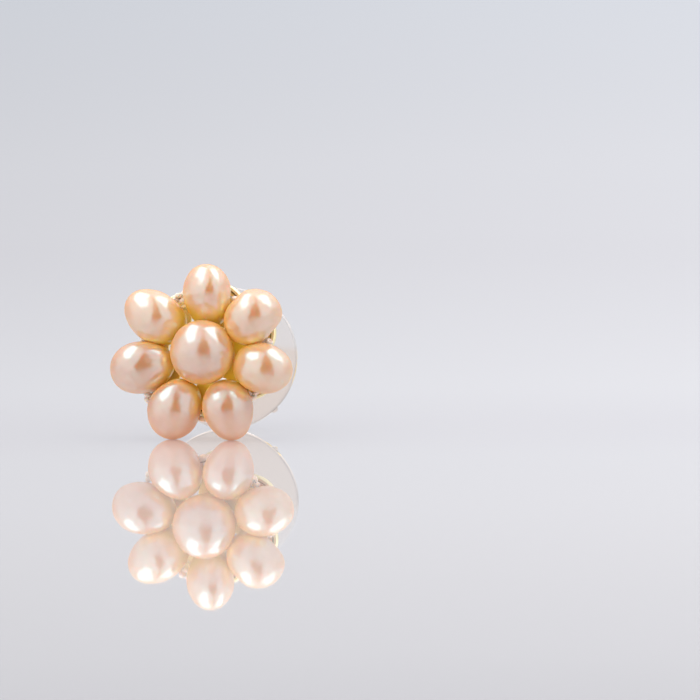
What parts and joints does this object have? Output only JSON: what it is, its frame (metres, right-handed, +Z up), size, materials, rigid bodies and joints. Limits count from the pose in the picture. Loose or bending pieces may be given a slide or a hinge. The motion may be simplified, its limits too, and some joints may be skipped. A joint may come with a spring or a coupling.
{
  "type": "pearl stud earring",
  "caption": "Flower-shaped ear stud: pearls round a centre pearl on a pierced gilt plate with a post and a clear disc clutch.",
  "frame": {"origin": "on the surface that the stud stands on, under the middle of its bounding box", "axes": "+Z up; the face looks along -Y and leans back; +X is to the right as seen from the front"},
  "size_m": [0.0142, 0.0162, 0.0133],
  "materials": {
    "gilt": "polished gilt",
    "pearl": "peach nacre, high lustre",
    "clear_plastic": "clear moulded plastic"
  },
  "bodies": {
    "stud": {"setting": "gilt", "pearl_centre": "pearl", "petal_1": "pearl", "petal_2": "pearl", "petal_3": "pearl", "petal_4": "pearl", "petal_5": "pearl", "petal_6": "pearl", "petal_7": "pearl"},
    "clutch": {"clutch": "clear_plastic"}
  },
  "joints": [
    {"name": "clutch_slide", "type": "slide", "parent": "stud", "child": "clutch", "axis": [0, 0.9882, -0.153], "range_m": [-0.0043, 0.0049]}
  ]
}
